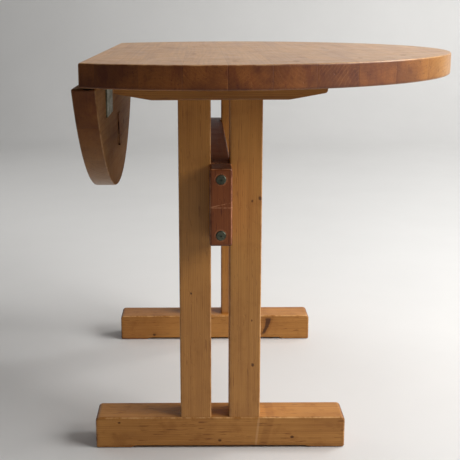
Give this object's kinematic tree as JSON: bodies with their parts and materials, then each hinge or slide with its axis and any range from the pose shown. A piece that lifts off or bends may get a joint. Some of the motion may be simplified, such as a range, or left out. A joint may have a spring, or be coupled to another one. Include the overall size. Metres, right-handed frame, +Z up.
{
  "type": "drop leaf table",
  "caption": "Round pine dining table with a drop leaf on one side, a sliding leaf support, and trestle legs joined by a bolted stretcher.",
  "frame": {"origin": "middle of the table's base rectangle, on the floor, with the leaf hanging", "axes": "+Z up; +Y along the stretcher, across the two trestles; -X towards the hinged leaf"},
  "size_m": [0.7032, 0.92, 0.72],
  "materials": {
    "pine_top": "clear satin lacquer",
    "pine_frame": "clear satin lacquer",
    "red_pine": "stained, satin lacquer",
    "plain_wood": "bare",
    "hinge_steel": "zinc plated",
    "bolt_steel": "bronzed zinc plate",
    "screw_steel": "zinc plated"
  },
  "bodies": {
    "table": {"barrel_nuts_front": "screw_steel", "barrel_nuts_rear": "screw_steel", "bearer_front": "pine_frame", "bearer_rear": "pine_frame", "bearer_screws_front": "screw_steel", "bearer_screws_rear": "screw_steel", "clamp_block_front": "red_pine", "clamp_block_rear": "red_pine", "clamp_bolts_front": "bolt_steel", "clamp_bolts_rear": "bolt_steel", "foot_front": "pine_frame", "foot_rear": "pine_frame", "guide_screws": "screw_steel", "hinge_front_pin": "hinge_steel", "hinge_front_top_plate": "hinge_steel", "hinge_front_top_screws": "screw_steel", "hinge_rear_pin": "hinge_steel", "hinge_rear_top_plate": "hinge_steel", "hinge_rear_top_screws": "screw_steel", "loper_guide_inner": "pine_frame", "loper_guide_outer": "pine_frame", "main_top": "pine_top", "stretcher": "red_pine", "upright_front_left": "pine_frame", "upright_front_right": "pine_frame", "upright_rear_left": "pine_frame", "upright_rear_right": "pine_frame"},
    "leaf": {"drop_leaf": "pine_top", "lift_wedge": "plain_wood", "wedge_screws": "screw_steel", "hinge_front_leaf_plate": "hinge_steel", "hinge_front_leaf_screws": "screw_steel", "hinge_rear_leaf_plate": "hinge_steel", "hinge_rear_leaf_screws": "screw_steel"},
    "loper": {"loper": "plain_wood", "loper_pull": "plain_wood", "loper_stop": "plain_wood"}
  },
  "joints": [
    {"name": "leaf_hinge", "type": "hinge", "parent": "table", "child": "leaf", "pos_m": [-0.325, 0, 0.6934], "axis": [0, 1, 0], "range_deg": [0, 90]},
    {"name": "loper_slide", "type": "slide", "parent": "table", "child": "loper", "axis": [-1, 0, 0], "range_m": [0, 0.095]}
  ]
}
